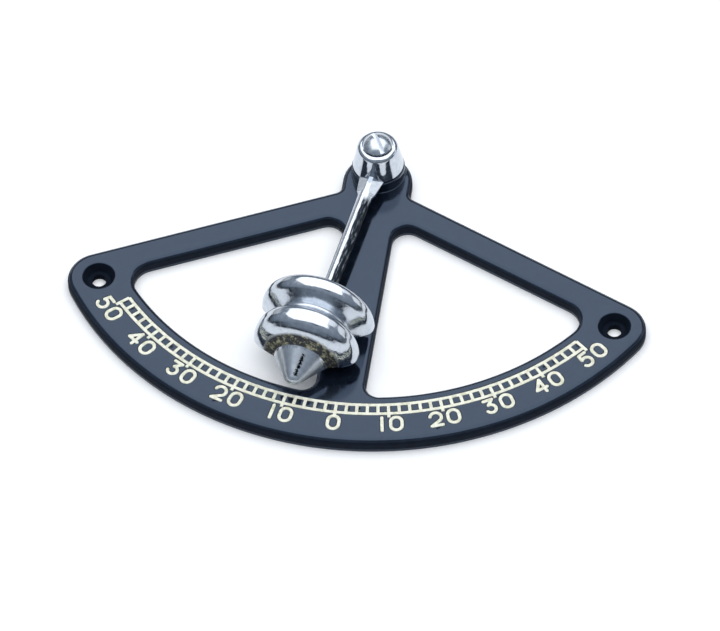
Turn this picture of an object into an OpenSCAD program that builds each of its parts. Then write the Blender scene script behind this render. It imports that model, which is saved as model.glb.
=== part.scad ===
// Ship's pendulum clinometer: a moulded sector plate with a filled scale, and a plated pendulum.
// It lies on its back: the back face is z = 0, the pivot axis is the Z axis, and the scale is towards -Y.

/* [Backplate] */
// Thickness of the plate
plate_t = 4.8; // [3.5:0.1:9]
// Width of the face outside the numerals
rim_margin = 4.2; // [3.3:0.1:20]
// Width of the face between the windows and the ladder
window_margin = 3.3; // [2.8:0.1:18]
// Angle between the end of the scale and the way the side bar runs
bar_margin = 15.1; // [8:0.1:25]
// Distance of a side bar's upper edge below the pivot, square to the bar
bar_drop = 2.7; // [1:0.1:6]
// Width of a side bar
bar_w = 9.9; // [7:0.1:14]
// Width of the middle spoke
spoke_w = 15.8; // [10:0.1:20]
// Radius of the lug round the pivot
lug_r = 11.2; // [10:0.1:14]
// How far the lug's centre lies below the pivot
lug_drop = 2.6; // [0:0.1:3.5]
// Radius of the hollow corner between the lug and a side bar
neck_r = 2.6; // [1.5:0.1:6]
// Radius of the two outer corners
corner_r = 10; // [8.5:0.1:13]
// Radius of the window's corner beside the lug
window_top_r = 5; // [2.5:0.1:7]
// Radius of the window's corner beside the outer corner
window_side_r = 7; // [2.5:0.1:7]
// Radius of the window's corner at the foot of the spoke
window_foot_r = 4.5; // [2.5:0.1:7]
// Rounding of the plate's outer edge
outer_round = 2.2; // [0.8:0.1:3]
// Rounding of the window edges
window_round = 1.8; // [0.8:0.1:2.4]

/* [Screw holes] */
// Diameter of a screw's clearance hole
hole_d = 4.6; // [3:0.1:5.5]
// Diameter at the bottom of the tapered recess
recess_floor_d = 7.3; // [6:0.1:8.5]
// Diameter of the recess at the face
recess_rim_d = 10.7; // [9:0.1:12]
// Depth of the recess
recess_depth = 2.65; // [1.5:0.05:3]

/* [Scale] */
// Radius of the middle of the graduated ladder, from the pivot
scale_r = 95; // [85:0.5:110]
// Angle from the zero to the last numeral, which is 50 where the numerals are true degrees
scale_half_span = 50; // [44:1:58]
// Cells of the ladder from one numeral to the next
label_cells = 5; // [1:1:10]
// Distance between the ladder's two rails, centre to centre
rail_spacing = 3.4; // [2.6:0.1:3.8]
// Width of a rail
rail_w = 1; // [0.6:0.05:1.3]
// Width of a rung
rung_w = 1; // [0.6:0.05:1.3]
// Length of the long rungs past the outer rail, at each numeral
tick_out = 1; // [0.5:0.1:1.5]
// Distance from the outer rail to the tops of the numerals
numeral_gap = 0.5; // [0.3:0.1:2]
// Height of a numeral
numeral_h = 6; // [4.5:0.1:6.2]
// Width of a round numeral
numeral_w = 4.6; // [3.8:0.1:5]
// Width of a numeral's stroke
stroke_w = 1.05; // [0.7:0.05:1.2]
// Distance between two digits, centre to centre
digit_pitch = 5.6; // [5.3:0.1:6.5]
// The same where the first digit is a plain bar
bar_digit_pitch = 4.5; // [4.2:0.1:6]
// Depth of the engraving
engrave_depth = 0.45; // [0.2:0.05:0.8]
// How far the filling lies below the face
fill_sink = 0.03; // [0.01:0.01:0.1]

/* [Pivot] */
// Radius of the pedestal that carries the pendulum
pedestal_r = 8.5; // [7.8:0.1:9.2]
// Height of the pedestal above the face
pedestal_h = 4.3; // [3:0.1:8]
// Radius of the bead round the foot of the pedestal
bead_r = 0.35; // [0.2:0.05:0.6]
// Radius of the threaded insert
insert_r = 3.6; // [3.2:0.1:4.5]
// Depth of the insert's retaining groove
insert_groove = 0.5; // [0.3:0.1:0.8]
// Thickness of plate left behind the insert
insert_floor = 1.2; // [0.8:0.1:2]
// Radius of the screw's thread
thread_r = 1.75; // [1.4:0.05:2]
// Radius of the screw's plain shoulder, which is the pivot
shoulder_r = 2.5; // [2.2:0.1:2.9]
// Wall of the bush
bush_wall = 1.05; // [0.8:0.05:1.3]
// Radius of the seat washer
washer_r = 5.6; // [4.5:0.1:7]
// Thickness of the seat washer
washer_t = 0.4; // [0.3:0.05:1]
// Radius of the screw's head
head_r = 4.65; // [4:0.05:4.9]
// Height of the head's straight side
head_side = 1.9; // [1:0.1:2]
// Height of the head's dome
head_dome = 1.5; // [0.8:0.05:2]
// Width of the slot
slot_w = 1.6; // [1:0.1:2]
// Depth of the slot below the top of the dome
slot_depth = 1.5; // [0.8:0.1:2]
// Direction of the slot
slot_turn = -62; // [-90:1:90]

/* [Pendulum] */
// Where the pendulum hangs at rest, in degrees from the zero, negative to the left
swing = -9; // [-45:1:45]
// Radius of the hub at its base
hub_base_r = 8.3; // [8:0.1:9.5]
// Radius of the hub's cone at its top
hub_top_r = 6.3; // [6:0.1:7]
// Height of the hub
hub_h = 9.3; // [8.5:0.1:14]
// Rounding of the hub's top rim
hub_round = 1; // [0.3:0.1:1]
// Depth of the recess for the screw's head
hub_recess = 0.6; // [0.5:0.1:2]
// Radial gap round the screw's head
head_gap = 0.2; // [0.15:0.05:0.4]
// Radius of the arm's half-round bar
arm_r = 2.4; // [1.8:0.1:2.8]
// Radius of the arm's half-round collar where it meets the foot of the hub
collar_r = 4; // [3.2:0.1:5]
// Radius of the collar's thin end
collar_end_r = 3; // [2.9:0.1:3.1]
// Distance from the pivot to the thin end of the collar
collar_reach = 14.4; // [12:0.1:20]
// Depth of the bar in the bob
arm_seat = 8; // [5:0.5:10]
// Radius of the bob's flat end round the bar
bob_eye_r = 3.6; // [2.8:0.1:5]
// Length of the cone above the upper disc
shoulder_len = 2.6; // [1.5:0.1:4]
// Radius of the bob's upper disc
upper_disc_r = 18.4; // [14:0.1:22]
// Rounding of the upper disc's rim
upper_nose = 2.2; // [1.5:0.1:3]
// Distance from the upper disc's rim down to the groove
groove_fall = 3.7; // [3:0.1:6]
// Radius of the groove between the discs
groove_r = 12.4; // [9:0.1:13]
// Distance from the groove down to the lower disc's rim
groove_rise = 2.6; // [2:0.1:5]
// Radius of the bob's lower disc
lower_disc_r = 17; // [14:0.1:21]
// Rounding of the lower disc's rim
lower_nose = 3.9; // [3:0.1:4.5]
// Distance from the lower disc's rim down to the foot of the pointer
underside_len = 6; // [5:0.1:8]
// Radius of the pointer's foot
pointer_r = 8.4; // [6:0.1:10]
// Length of the pointer's cone
pointer_len = 8.9; // [6:0.1:12]
// Distance from the pointer's tip to the ladder
pointer_gap = 0.5; // [0.2:0.1:15]
// Rounding of the pointer's tip
tip_round = 3.1; // [1:0.1:3.5]
// How far the pin goes into the bob beyond the bar
pin_grip = 2; // [0.5:0.1:3]
// Radius of the pin through the bar and the bob
pin_r = 0.8; // [0.5:0.05:1]

/* [Fits] */
// Radial running clearance between the bush and the shoulder
run_gap = 0.05; // [0.02:0.01:0.1]
// End play on each side of the hub
end_play = 0.05; // [0.02:0.01:0.1]
// Radial clearance of a thread or a washer's bore
loose_gap = 0.04; // [0.02:0.01:0.1]

/* [Hidden] */
// Numerals on each side of the zero, and what they count by
labels = 5;
label_step = 10;

$fn = 96;
scale_fn = 360;
large_arc_step = 3;
arc_step = 15;
edge_step = 22.5;
through = 1;
deep = 3;

bakelite = "#20242e";
cream = "#e6e4c8";
chrome = "#c9ced6";
brass = "#c2a05a";
steel = "#9aa0a8";

// Angles of the scale
label_turn = scale_half_span / labels;
cell_turn = label_turn / label_cells;

// Distances from the pivot, across the scale
ladder_half = (rail_spacing + rail_w) / 2;
numeral_r = scale_r + ladder_half + numeral_gap + numeral_h / 2;
rim_r = numeral_r + numeral_h / 2 + rim_margin;
window_r = scale_r - ladder_half - window_margin;

// Heights, from the back face up
pedestal_top = plate_t + pedestal_h;
washer_top = pedestal_top + washer_t;
back_z = washer_top + end_play;
recess_z = back_z + hub_h - hub_recess;
head_z = recess_z + end_play;
bush_r = shoulder_r + run_gap + bush_wall;

// Slope of the side bars below the horizontal
bar_slope = 90 - scale_half_span - bar_margin;

// Directions of the right-hand side bar: along it, away from the pivot, and square to it, outwards
bar_along = unit(-bar_slope);
bar_out = unit(90 - bar_slope);

// Centres of the plate's rounded corners
corner_c = nest(rim_r - corner_r, bar_drop + corner_r);
neck_c = beside(lug_r + neck_r, neck_r - bar_drop);
lug_c = [0, -lug_drop];
side_c = nest(window_r - window_side_r, bar_drop + bar_w + window_side_r);
top_c = beside(spoke_w / 2 + window_top_r, -(bar_drop + bar_w + window_top_r));
foot_x = spoke_w / 2 + window_foot_r;
foot_c = [foot_x, -sqrt(pow(window_r - window_foot_r, 2) - foot_x * foot_x)];

// Distances from the pivot along the pendulum, from the pointer's foot back to the top of the bob
pointer_at = scale_r - ladder_half - pointer_gap - pointer_len;
lower_disc_at = pointer_at - underside_len;
groove_at = lower_disc_at - lower_nose - groove_rise;
upper_disc_at = groove_at - groove_fall - upper_nose;
bob_start = upper_disc_at - upper_nose - shoulder_len;

function unit(a) = [cos(a), sin(a)];
function direction(p) = atan2(p.y, p.x);

// The point at a distance d from the pivot and k below it, measured square to the side bar
function nest(d, k) = sqrt(d * d - k * k) * bar_along - k * bar_out;

// The point at x whose distance above the pivot, measured square to the side bar, is k
function beside(x, k) = [x, (k - bar_out.x * x) / bar_out.y];

// An arc as points with their outward normals: side is 1 for a round corner and -1 for a hollow one
function arc(c, r, from, to, side = 1) =
    let (n = max(2, ceil(abs(to - from) / (r > rim_r / 2 ? large_arc_step : arc_step))))
    [for (i = [0:n]) let (u = unit(from + (to - from) * i / n))
        [c.x + r * u.x, c.y + r * u.y, side * u.x, side * u.y]];

function mirrored(path) = [for (i = [len(path) - 2:-1:1]) let (p = path[i]) [-p[0], p[1], -p[2], p[3]]];

function outer_path() =
    let (right = concat(
        arc([0, 0], rim_r, -90, direction(corner_c)),
        arc(corner_c, corner_r, direction(corner_c), 90 - bar_slope),
        arc(neck_c, neck_r, 270 - bar_slope, 180, -1),
        arc(lug_c, lug_r, 0, 90)
    ))
    concat(right, mirrored(right));

function window_path() = concat(
    arc([0, 0], window_r, direction(foot_c), direction(side_c)),
    arc(side_c, window_side_r, direction(side_c), 90 - bar_slope),
    arc(top_c, window_top_r, 90 - bar_slope, 180),
    arc(foot_c, window_foot_r, 180, 360 + direction(foot_c))
);

// One level of a rounded solid: the path grown by g along its normals, at height z
function level(path, g, z) = [for (p = path) [p[0] + g * p[2], p[1] + g * p[3], z]];

// A solid through the levels of a path, each level given as [growth, height]
module stack(path, levels) {
    n = len(path);
    m = len(levels);
    points = [for (l = levels) each level(path, l[0], l[1])];
    bottom = [for (i = [0:n - 1]) (n - i) % n];
    top = [for (i = [0:n - 1]) (m - 1) * n + i];
    sides = [for (k = [0:m - 2], i = [0:n - 1]) let (j = (i + 1) % n)
        [k * n + i, (k + 1) * n + i, (k + 1) * n + j, k * n + j]];
    polyhedron(points, concat([bottom, top], sides));
}

// The quarter round at the top of an edge: dir is -1 where the solid shrinks and 1 where it flares
function edge_round(r, dir) =
    [for (a = [0:edge_step:90]) [dir * r * (1 - cos(a)), plate_t - r + r * sin(a)]];

module plate_blank() stack(outer_path(), concat([[0, 0]], edge_round(outer_round, -1)));

module window_cut() stack(
    window_path(),
    concat([[0, -through]], edge_round(window_round, 1), [[window_round, plate_t + through]])
);

module pedestal() {
    cylinder(r = pedestal_r, h = pedestal_top);
    translate([0, 0, plate_t]) rotate_extrude() translate([pedestal_r, 0]) circle(r = bead_r);
}

module screw_hole() {
    translate([0, 0, -through]) cylinder(d = hole_d, h = plate_t + 2 * through);
    translate([0, 0, plate_t - recess_depth])
        cylinder(d1 = recess_floor_d, d2 = recess_rim_d, h = recess_depth);
    translate([0, 0, plate_t]) cylinder(d = recess_rim_d, h = through);
}

// The outer shape of the insert, running past the pedestal's top by extra
module insert_shape(extra) {
    length = pedestal_top - insert_floor;
    waist_r = insert_r - insert_groove;
    translate([0, 0, insert_floor]) rotate_extrude() polygon([
        [0, 0], [insert_r, 0], [insert_r, length / 3], [waist_r, length / 3],
        [waist_r, length * 2 / 3], [insert_r, length * 2 / 3], [insert_r, length + extra], [0, length + extra]
    ]);
}

// A stroke's body is narrower than its round ends by a hair, so that their edges cross cleanly
body_w = stroke_w - 0.01;

// The body of a straight stroke
module bar(a, b) translate(a) rotate(direction(b - a))
    translate([0, -body_w / 2]) square([norm(b - a), body_w]);

// A band along an arc, from one angle to another, with square ends
module band(r, w, from, to) {
    n = ceil(abs(to - from) / arc_step);
    intersection() {
        difference() {
            circle(r = r + w / 2, $fn = scale_fn);
            circle(r = r - w / 2, $fn = scale_fn);
        }
        polygon(concat([[0, 0]], [for (i = [0:n]) 2 * r * unit(from + (to - from) * i / n)]));
    }
}

// The body of a curved stroke
module bow(c, r, turn) translate(c) band(r, body_w, turn[0], turn[1]);

// The round ends and joints of the strokes
module dots(points) for (p = points) translate(p) circle(d = stroke_w);

// The middle line of a numeral reaches this far up and across
reach_y = (numeral_h - stroke_w) / 2;
reach_x = (numeral_w - stroke_w) / 2;

module slot_shape(w, h) {
    square([w, h - w], center = true);
    for (s = [-1, 1]) translate([0, s * (h - w) / 2]) circle(d = w);
}

// A 2 has a bow, which starts and ends at these angles
two_turn = [-42, 165];

// A 3 has a flat top, a slope and a round bowl
three_bowl = 0.62 * reach_y;
three_flag = 0.8 * reach_x;
three_turn = [-155, 105];

// A 4 has its crossbar this far below the middle, and its stem this far to the right of it
four_foot = 0.4 * reach_y;
four_stem = 0.45 * reach_x;

// A 5 has a round bowl, a leaning neck and a flag
five_bowl = 0.95 * reach_x;
five_flag = 0.9 * reach_x;
five_lean = 0.25;
five_turn = [-150, 128];

module digit(n) {
    if (n == 0) difference() {
        slot_shape(numeral_w, numeral_h);
        slot_shape(numeral_w - 2 * stroke_w, numeral_h - 2 * stroke_w);
    }
    if (n == 1) one();
    if (n == 2) two();
    if (n == 3) three();
    if (n == 4) four();
    if (n == 5) five();
}

module one() {
    ends = [[0, -reach_y], [0, reach_y]];
    bar(ends[0], ends[1]);
    dots(ends);
}

module two() {
    c = [0, reach_y - reach_x];
    neck = c + reach_x * unit(two_turn[0]);
    foot = [-reach_x, -reach_y];
    toe = [reach_x, -reach_y];
    bow(c, reach_x, two_turn);
    bar(neck, foot);
    bar(foot, toe);
    dots([neck, foot, toe, c + reach_x * unit(two_turn[1])]);
}

module three() {
    c = [0, three_bowl - reach_y];
    neck = c + three_bowl * unit(three_turn[1]);
    corner = [three_flag, reach_y];
    end = [-three_flag, reach_y];
    bow(c, three_bowl, three_turn);
    bar(neck, corner);
    bar(corner, end);
    dots([neck, corner, end, c + three_bowl * unit(three_turn[0])]);
}

module four() {
    top = [four_stem, reach_y];
    foot = [four_stem, -reach_y];
    left = [-reach_x, -four_foot];
    right = [reach_x, -four_foot];
    bar(foot, top);
    bar(top, left);
    bar(left, right);
    dots([top, foot, left, right]);
}

module five() {
    c = [0, five_bowl - reach_y];
    neck = c + five_bowl * unit(five_turn[1]);
    corner = [neck.x + five_lean, reach_y];
    end = [five_flag, reach_y];
    bow(c, five_bowl, five_turn);
    bar(neck, corner);
    bar(corner, end);
    dots([neck, corner, end, c + five_bowl * unit(five_turn[0])]);
}

// The label i places from the zero, standing on the scale with its top towards the pivot
module label(i) rotate(i * label_turn) translate([0, -numeral_r]) {
    if (i == 0) digit(0);
    else {
        pitch = abs(i) == 1 ? bar_digit_pitch : digit_pitch;
        translate([-pitch / 2, 0]) digit(abs(i));
        translate([pitch / 2, 0]) digit(0);
    }
}

function numeral_name(i) =
    i == 0 ? "numeral_zero" : str("numeral_", i < 0 ? "left_" : "right_", abs(i) * label_step);

// The rung i cells from the zero, from the middle of the inner rail out to a distance past the ladder's middle
module rung(i, out) rotate(i * cell_turn) translate([-rung_w / 2, -scale_r - out])
    square([rung_w, out + rail_spacing / 2]);

// A long rung runs on as a tick towards its numeral
module long_rung(i) rung(i * label_cells, ladder_half + tick_out);

module ladder_shape() {
    for (s = [-1, 1])
        band(scale_r + s * rail_spacing / 2, rail_w, -90 - scale_half_span, -90 + scale_half_span);
    for (i = [-labels * label_cells:labels * label_cells])
        if (i % label_cells != 0) rung(i, rail_spacing / 2);
    for (i = [-labels:labels]) long_rung(i);
}

// Something cut into the face or laid in it
module in_face(sink) translate([0, 0, plate_t - engrave_depth])
    linear_extrude(engrave_depth - sink) children();

module backplate() color(bakelite) difference() {
    union() {
        difference() {
            plate_blank();
            window_cut();
            mirror([1, 0, 0]) window_cut();
        }
        pedestal();
    }
    for (s = [-1, 1]) translate([s * corner_c.x, corner_c.y, 0]) screw_hole();
    insert_shape(through);
    in_face(-through) {
        ladder_shape();
        for (i = [-labels:labels]) label(i);
    }
}

module scale_ladder() color(cream) in_face(fill_sink) ladder_shape();

// The zero stands in the way of its tick, which keeps its end
module numeral(i) color(cream) in_face(fill_sink) difference() {
    label(i);
    long_rung(i);
}

module pivot_insert() color(brass) difference() {
    insert_shape(0);
    translate([0, 0, insert_floor + insert_groove])
        cylinder(r = thread_r + loose_gap, h = pedestal_top);
}

module seat_washer() color(brass) translate([0, 0, pedestal_top]) difference() {
    cylinder(r = washer_r, h = washer_t);
    translate([0, 0, -through]) cylinder(r = shoulder_r + loose_gap, h = washer_t + 2 * through);
}

// The dome is a cap of a sphere on the head's straight side
dome_r = (head_r * head_r + head_dome * head_dome) / (2 * head_dome);

module pivot_screw() color(chrome) {
    thread_end = insert_floor + 2 * insert_groove;
    translate([0, 0, thread_end]) cylinder(r = thread_r, h = pedestal_top - thread_end);
    translate([0, 0, pedestal_top]) cylinder(r = shoulder_r, h = head_z - pedestal_top);
    difference() {
        union() {
            translate([0, 0, head_z]) cylinder(r = head_r, h = head_side);
            intersection() {
                translate([0, 0, head_z + head_side]) cylinder(r = head_r, h = head_dome);
                translate([0, 0, head_z + head_side + head_dome - dome_r]) sphere(r = dome_r);
            }
        }
        rotate([0, 0, slot_turn])
            translate([-2 * head_r, -slot_w / 2, head_z + head_side + head_dome - slot_depth])
            cube([4 * head_r, slot_w, slot_depth + through]);
    }
}

// What hangs on the pivot: children are drawn hanging straight down and turned to the rest position
module hung() rotate([0, 0, swing]) children();

// Along the arm: the child's Z axis becomes the way from the pivot to the pointer, at height z
module along_arm(z) translate([0, 0, z]) rotate([90, 0, 0]) children();

module pivot_bush() color(brass) translate([0, 0, back_z]) difference() {
    cylinder(r = bush_r, h = hub_h - hub_recess);
    translate([0, 0, -through]) cylinder(r = shoulder_r + run_gap, h = hub_h + 2 * through);
}

// The hub's outer shape: a cone with a rounded top rim, reaching past its base by extra
module hub_form(extra = 0) {
    slope = (hub_base_r - hub_top_r) / hub_h;
    shoulder = hub_top_r + slope * hub_round - hub_round;
    translate([0, 0, back_z]) rotate_extrude() polygon(concat(
        [[0, -extra], [hub_base_r + slope * extra, -extra]],
        [for (a = [0:arc_step:90]) [shoulder + hub_round * cos(a), hub_h - hub_round + hub_round * sin(a)]],
        [[0, hub_h]]
    ));
}

// The room inside the hub for the bush, open into the recess
module bush_bore() translate([0, 0, back_z - through]) cylinder(r = bush_r, h = hub_h + through);

module hub() color(chrome) hung() difference() {
    hub_form();
    translate([0, 0, recess_z]) cylinder(r = head_r + head_gap, h = hub_recess + through);
    bush_bore();
    arm_bar(2 * hub_base_r);
}

// The half-round collar, whose middle line lies in the pendulum's flat back
module collar() {
    slope = (collar_r - collar_end_r) / (collar_reach - hub_base_r);
    along_arm(back_z)
        cylinder(r1 = collar_end_r + slope * collar_reach, r2 = collar_end_r, h = collar_reach);
}

// The room below the pendulum's flat back, out to a distance r
module below_back(r) translate([-r, -r, back_z - r]) cube([2 * r, r, r]);

// A round bar from the hub's axis, whose middle line lies in the pendulum's flat back. It is turned
// so that the seam of its surface isn't in the flat back
module arm_bar(length) along_arm(back_z) rotate([0, 0, -90]) cylinder(r = arm_r, h = length);

module arm() color(chrome) hung() difference() {
    union() {
        arm_bar(bob_start + arm_seat);
        difference() {
            collar();
            hub_form(deep);
        }
    }
    bush_bore();
    below_back(bob_start + arm_seat + through);
    bob_pin_shape(through);
}

// Half of the bob's turned outline, as points [distance from the pivot, radius]
function nose(at, r, round, from, to) =
    [for (a = [from:arc_step:to]) [at - round * cos(a), r - round + round * sin(a)]];

function bob_outline() = concat(
    [[bob_start, 0], [bob_start, bob_eye_r]],
    nose(upper_disc_at, upper_disc_r, upper_nose, 15, 150),
    [[groove_at, groove_r]],
    nose(lower_disc_at, lower_disc_r, lower_nose, 45, 150),
    pointer()
);

// The pointer's cone, from its foot in the lower disc's underside to its rounded tip
function pointer() =
    let (tip = pointer_at + pointer_len - tip_round)
    concat([[pointer_at, pointer_r]],
        [for (a = [3 * arc_step:arc_step:90]) [tip + tip_round * sin(a), tip_round * cos(a)]]);

module bob() color(chrome) hung() difference() {
    along_arm(back_z) rotate_extrude(angle = 180)
        polygon([for (p = bob_outline()) [p[1], p[0]]]);
    arm_bar(bob_start + arm_seat);
    bob_pin_shape(through);
}

// The pin stands square to the back, through the middle of the bar's seat
module bob_pin_shape(extra) translate([0, -bob_start - arm_seat / 2, back_z - extra])
    cylinder(r = pin_r, h = arm_r + pin_grip + extra);

module bob_pin() color(steel) hung() bob_pin_shape(0);

backplate();
scale_ladder();
for (i = [-labels:labels])
    numeral(i);
pivot_insert();
seat_washer();
pivot_screw();
pivot_bush();
hub();
arm();
bob();
bob_pin();
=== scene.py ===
# %% [markdown]
# # A pendulum clinometer
#
# A clinometer hangs on a bulkhead and shows how far a ship heels. A plate of moulded phenolic
# resin carries the scale. A heavy chromium-plated pendulum swings on one slotted screw, and its
# point reads off the angle.
#
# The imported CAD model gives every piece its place. This lesson models the pieces whose edges and
# curves show, and gives every piece its finish. All lengths that are typed below are millimetres,
# and `MM` turns them into Blender's metres.

# %% Load the frame
import math

import bpy
from mathutils import Matrix, Vector


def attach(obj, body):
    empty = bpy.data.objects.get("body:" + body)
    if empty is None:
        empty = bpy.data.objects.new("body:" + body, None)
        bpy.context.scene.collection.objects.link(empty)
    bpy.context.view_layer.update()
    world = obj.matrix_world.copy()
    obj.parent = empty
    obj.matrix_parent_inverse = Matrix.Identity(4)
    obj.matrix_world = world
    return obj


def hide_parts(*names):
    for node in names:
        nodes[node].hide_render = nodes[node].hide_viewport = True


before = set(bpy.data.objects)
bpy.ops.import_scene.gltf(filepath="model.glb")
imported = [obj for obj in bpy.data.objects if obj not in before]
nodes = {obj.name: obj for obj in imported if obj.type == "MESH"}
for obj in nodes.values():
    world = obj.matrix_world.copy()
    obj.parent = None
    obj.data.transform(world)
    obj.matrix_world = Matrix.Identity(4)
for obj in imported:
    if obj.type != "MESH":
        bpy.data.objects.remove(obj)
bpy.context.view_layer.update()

MM = 0.001

# %% [markdown]
# ## The camera
#
# A camera can be found from a flat thing in the photograph whose real form is known. Here that is
# the ladder of fifty equal cells, whose corners lie on circles about the pivot. The fit gave a long
# lens about two metres away, looking down at the plate, with a slight roll.

# %% Camera
CAMERA_PLACE = Vector((214.9, -1220.7, 1543.4)) * MM
RIGHT = Vector((0.989268, 0.143329, -0.028374))
DOWN = Vector((0.096666, -0.787652, -0.608491))
AHEAD = Vector((-0.109563, 0.599218, -0.793054))

camera_data = bpy.data.cameras.new("camera")
camera_data.sensor_fit = "HORIZONTAL"
camera_data.sensor_width = 36
camera_data.lens = 306.4
camera = bpy.data.objects.new("camera", camera_data)
bpy.context.scene.collection.objects.link(camera)
turn = Matrix((RIGHT, -DOWN, -AHEAD)).transposed()
camera.matrix_world = Matrix.Translation(CAMERA_PLACE) @ turn.to_4x4()
bpy.context.scene.camera = camera
print("camera stands", round(CAMERA_PLACE.length, 2), "m from the pivot")

# %% [markdown]
# ## Helpers for selecting and shaping
#
# Blender's operators work on what is selected, and loading the frame leaves every node selected. So
# each step first selects its own piece and nothing else.

# %% Selecting
def pick(*pieces):
    """Selects these pieces and nothing else, and makes the last one active."""
    if bpy.context.object and bpy.context.object.mode != "OBJECT":
        bpy.ops.object.mode_set(mode="OBJECT")
    bpy.ops.object.select_all(action="DESELECT")
    for piece in pieces:
        piece.select_set(True)
        bpy.context.view_layer.objects.active = piece


def edit(piece):
    """Opens a piece in edit mode with all of it selected."""
    pick(piece)
    bpy.ops.object.mode_set(mode="EDIT")
    bpy.ops.mesh.select_mode(type="VERT")
    bpy.ops.mesh.select_all(action="SELECT")


def apply_modifier(piece, kind, **settings):
    """Adds a modifier with its settings and applies it at once."""
    pick(piece)
    modifier = piece.modifiers.new(kind, kind)
    for name, value in settings.items():
        setattr(modifier, name, value)
    bpy.ops.object.modifier_apply(modifier=modifier.name)
    return piece


def soften(piece, width, segments, sharper_than):
    """Bevels the edges of a piece that turn by more than an angle in degrees, to a width in mm."""
    return apply_modifier(
        piece, "BEVEL", width=width * MM, segments=segments,
        limit_method="ANGLE", angle_limit=math.radians(sharper_than),
    )

# %% [markdown]
# A turned part is easiest to draw as its half section. The line below starts as one vertex and grows
# by extrusion from point to point, as one would click it out by hand. Sharp corners are rare on real
# parts, so a small function rounds each corner of the section with an arc of its own radius.

# %% Drawing a section
def rounded(corners, step=9):
    """A line through corners (u, v, rounding) in mm. Each rounding is an arc in steps of so many degrees."""
    line = []
    for i, (u, v, r) in enumerate(corners):
        here = Vector((u, v))
        if r == 0 or i in (0, len(corners) - 1):
            line.append(here)
            continue
        back = (Vector(corners[i - 1][:2]) - here).normalized()
        on = (Vector(corners[i + 1][:2]) - here).normalized()
        half = back.angle(on) / 2
        centre = here + (back + on).normalized() * r / math.sin(half)
        start = here + back * r / math.tan(half) - centre
        sweep = math.pi - 2 * half
        if back.cross(on) > 0:
            sweep = -sweep
        count = max(2, math.ceil(abs(math.degrees(sweep)) / step))
        for k in range(count + 1):
            line.append(centre + Matrix.Rotation(sweep * k / count, 2) @ start)
    return line


def trace(name, points):
    """Draws a line through points in metres: one vertex, then an extrusion to each next point."""
    pick()
    bpy.ops.mesh.primitive_plane_add(size=MM, location=points[0])
    piece = bpy.context.object
    piece.name = name
    bpy.ops.object.transform_apply(location=True, rotation=False, scale=False)
    edit(piece)
    bpy.ops.mesh.merge(type="CENTER")
    for a, b in zip(points, points[1:]):
        bpy.ops.mesh.extrude_region_move(TRANSFORM_OT_translate={"value": b - a})
    return piece

# %% [markdown]
# The section is then spun about its axis. Spinning can leave the faces inside out and doubles where
# the first and the last section meet, so the doubles are merged and the normals are worked out again.

# %% Turning a section
SAME_PLACE = 0.001 * MM
SHARP_ANGLE = 35


def tidy():
    """Ends edit mode with the doubles merged and the faces pointing outwards."""
    bpy.ops.mesh.select_all(action="SELECT")
    bpy.ops.mesh.remove_doubles(threshold=SAME_PLACE)
    bpy.ops.mesh.normals_make_consistent(inside=False)
    bpy.ops.object.mode_set(mode="OBJECT")


def turned(name, corners, steps=96):
    """A solid turned about the pivot's axis, from a section of (radius, height, rounding) in mm."""
    piece = trace(name, [Vector((r, 0, z)) * MM for r, z in rounded(corners)])
    bpy.ops.mesh.select_all(action="SELECT")
    bpy.ops.mesh.spin(steps=steps, angle=math.tau, center=(0, 0, 0), axis=(0, 0, 1))
    tidy()
    return piece


def place(piece, at):
    """Moves a piece by a distance in mm and keeps its new place in its mesh."""
    pick(piece)
    piece.location = Vector(at) * MM
    bpy.ops.object.transform_apply(location=True, rotation=False, scale=False)
    return piece


def combine(piece, tools, operation="DIFFERENCE"):
    """Cuts tools out of a piece, or joins them to it, and removes the tools."""
    for tool in tools:
        apply_modifier(piece, "BOOLEAN", object=tool, operation=operation, solver="EXACT")
        bpy.data.objects.remove(tool)
    edit(piece)
    tidy()


def finish_surface(piece):
    """Smooth shading that keeps hard edges, with large flat faces kept flat by weighted normals."""
    pick(piece)
    bpy.ops.object.shade_smooth_by_angle(angle=math.radians(SHARP_ANGLE))
    apply_modifier(piece, "WEIGHTED_NORMAL", keep_sharp=True, weight=60)
    print(piece.name, "has", sum(len(f.vertices) - 2 for f in piece.data.polygons), "triangles")

# %% [markdown]
# ## The moulded backplate
#
# The plate is one moulding: a curved rim for the scale, two side bars, a spoke and a lug for the
# pivot. The edges are what the eye reads, because the gloss turns each rounded edge into a dark line.
# Its sizes were measured in the photograph. Some places are known only by their distances from the
# pivot and from the line of a side bar, and small functions find them.

# %% Sizes of the backplate
FACE = 4.8
RIM_R, WINDOW_R, CORNER_R = 107.9, 89.5, 10
LUG_R, LUG_DROP, NECK_R = 11.2, 2.6, 2.6
BAR_SLOPE, BAR_DROP, BAR_W, SPOKE_W = 24.9, 2.7, 9.9, 15.8
EDGE_ROUND, WINDOW_ROUND = 2.2, 1.8


def heading(angle):
    return Vector((math.cos(math.radians(angle)), math.sin(math.radians(angle))))


BAR_ALONG, BAR_OUT = heading(-BAR_SLOPE), heading(90 - BAR_SLOPE)


def nest(distance, below):
    """A point this far from the pivot, and this far below it measured square to the side bar."""
    return math.sqrt(distance**2 - below**2) * BAR_ALONG - below * BAR_OUT


def beside(x, above):
    """The point at x that lies this far above the pivot measured square to the side bar."""
    return Vector((x, (above - BAR_OUT.x * x) / BAR_OUT.y))


def angle_of(point):
    return math.degrees(math.atan2(point.y, point.x))


HOLE_PLACE = nest(RIM_R - CORNER_R, BAR_DROP + CORNER_R)
print("the right corner is round this point in mm, and its screw hole is there too:", HOLE_PLACE)

# %% [markdown]
# The outline is drawn once, as points with the direction that faces away from the material, so that
# the same path can be grown to any size. The right half is drawn, and mirrored for the left.

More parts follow.
